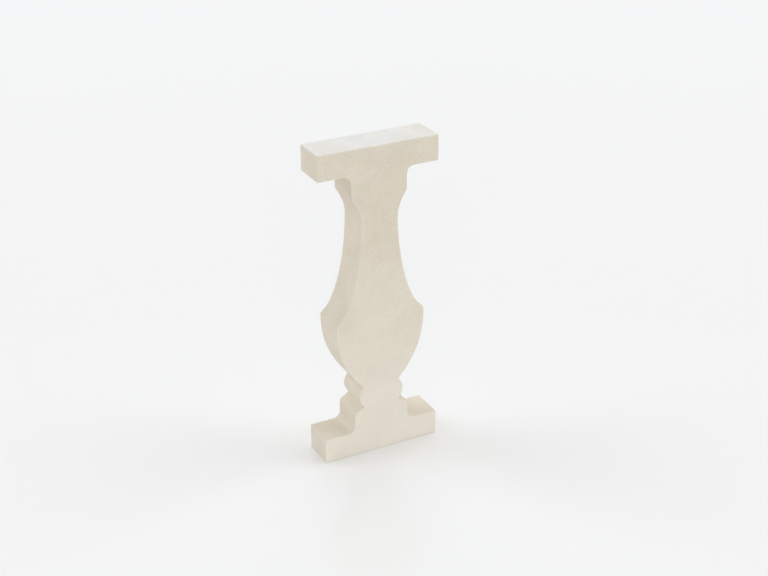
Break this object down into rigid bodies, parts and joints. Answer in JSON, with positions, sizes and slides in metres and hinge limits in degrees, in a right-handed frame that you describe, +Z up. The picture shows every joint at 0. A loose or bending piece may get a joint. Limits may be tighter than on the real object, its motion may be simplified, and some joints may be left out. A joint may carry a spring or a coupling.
{
  "type": "stone baluster",
  "caption": "Flat cast-stone baluster: a thick slab cut to a symmetric baluster profile, with a square-ended base block and cap block, standing on its underside.",
  "frame": {"origin": "centre of the underside, where the base block stands", "axes": "+Z up the baluster, +X across its profile, -Y out of its front face"},
  "size_m": [0.24, 0.07, 0.625],
  "materials": {
    "cast_stone": "pale beige cast stone, dry and matt, with a fine sandy face"
  },
  "bodies": {
    "root": {"baluster": "cast_stone"}
  },
  "joints": []
}
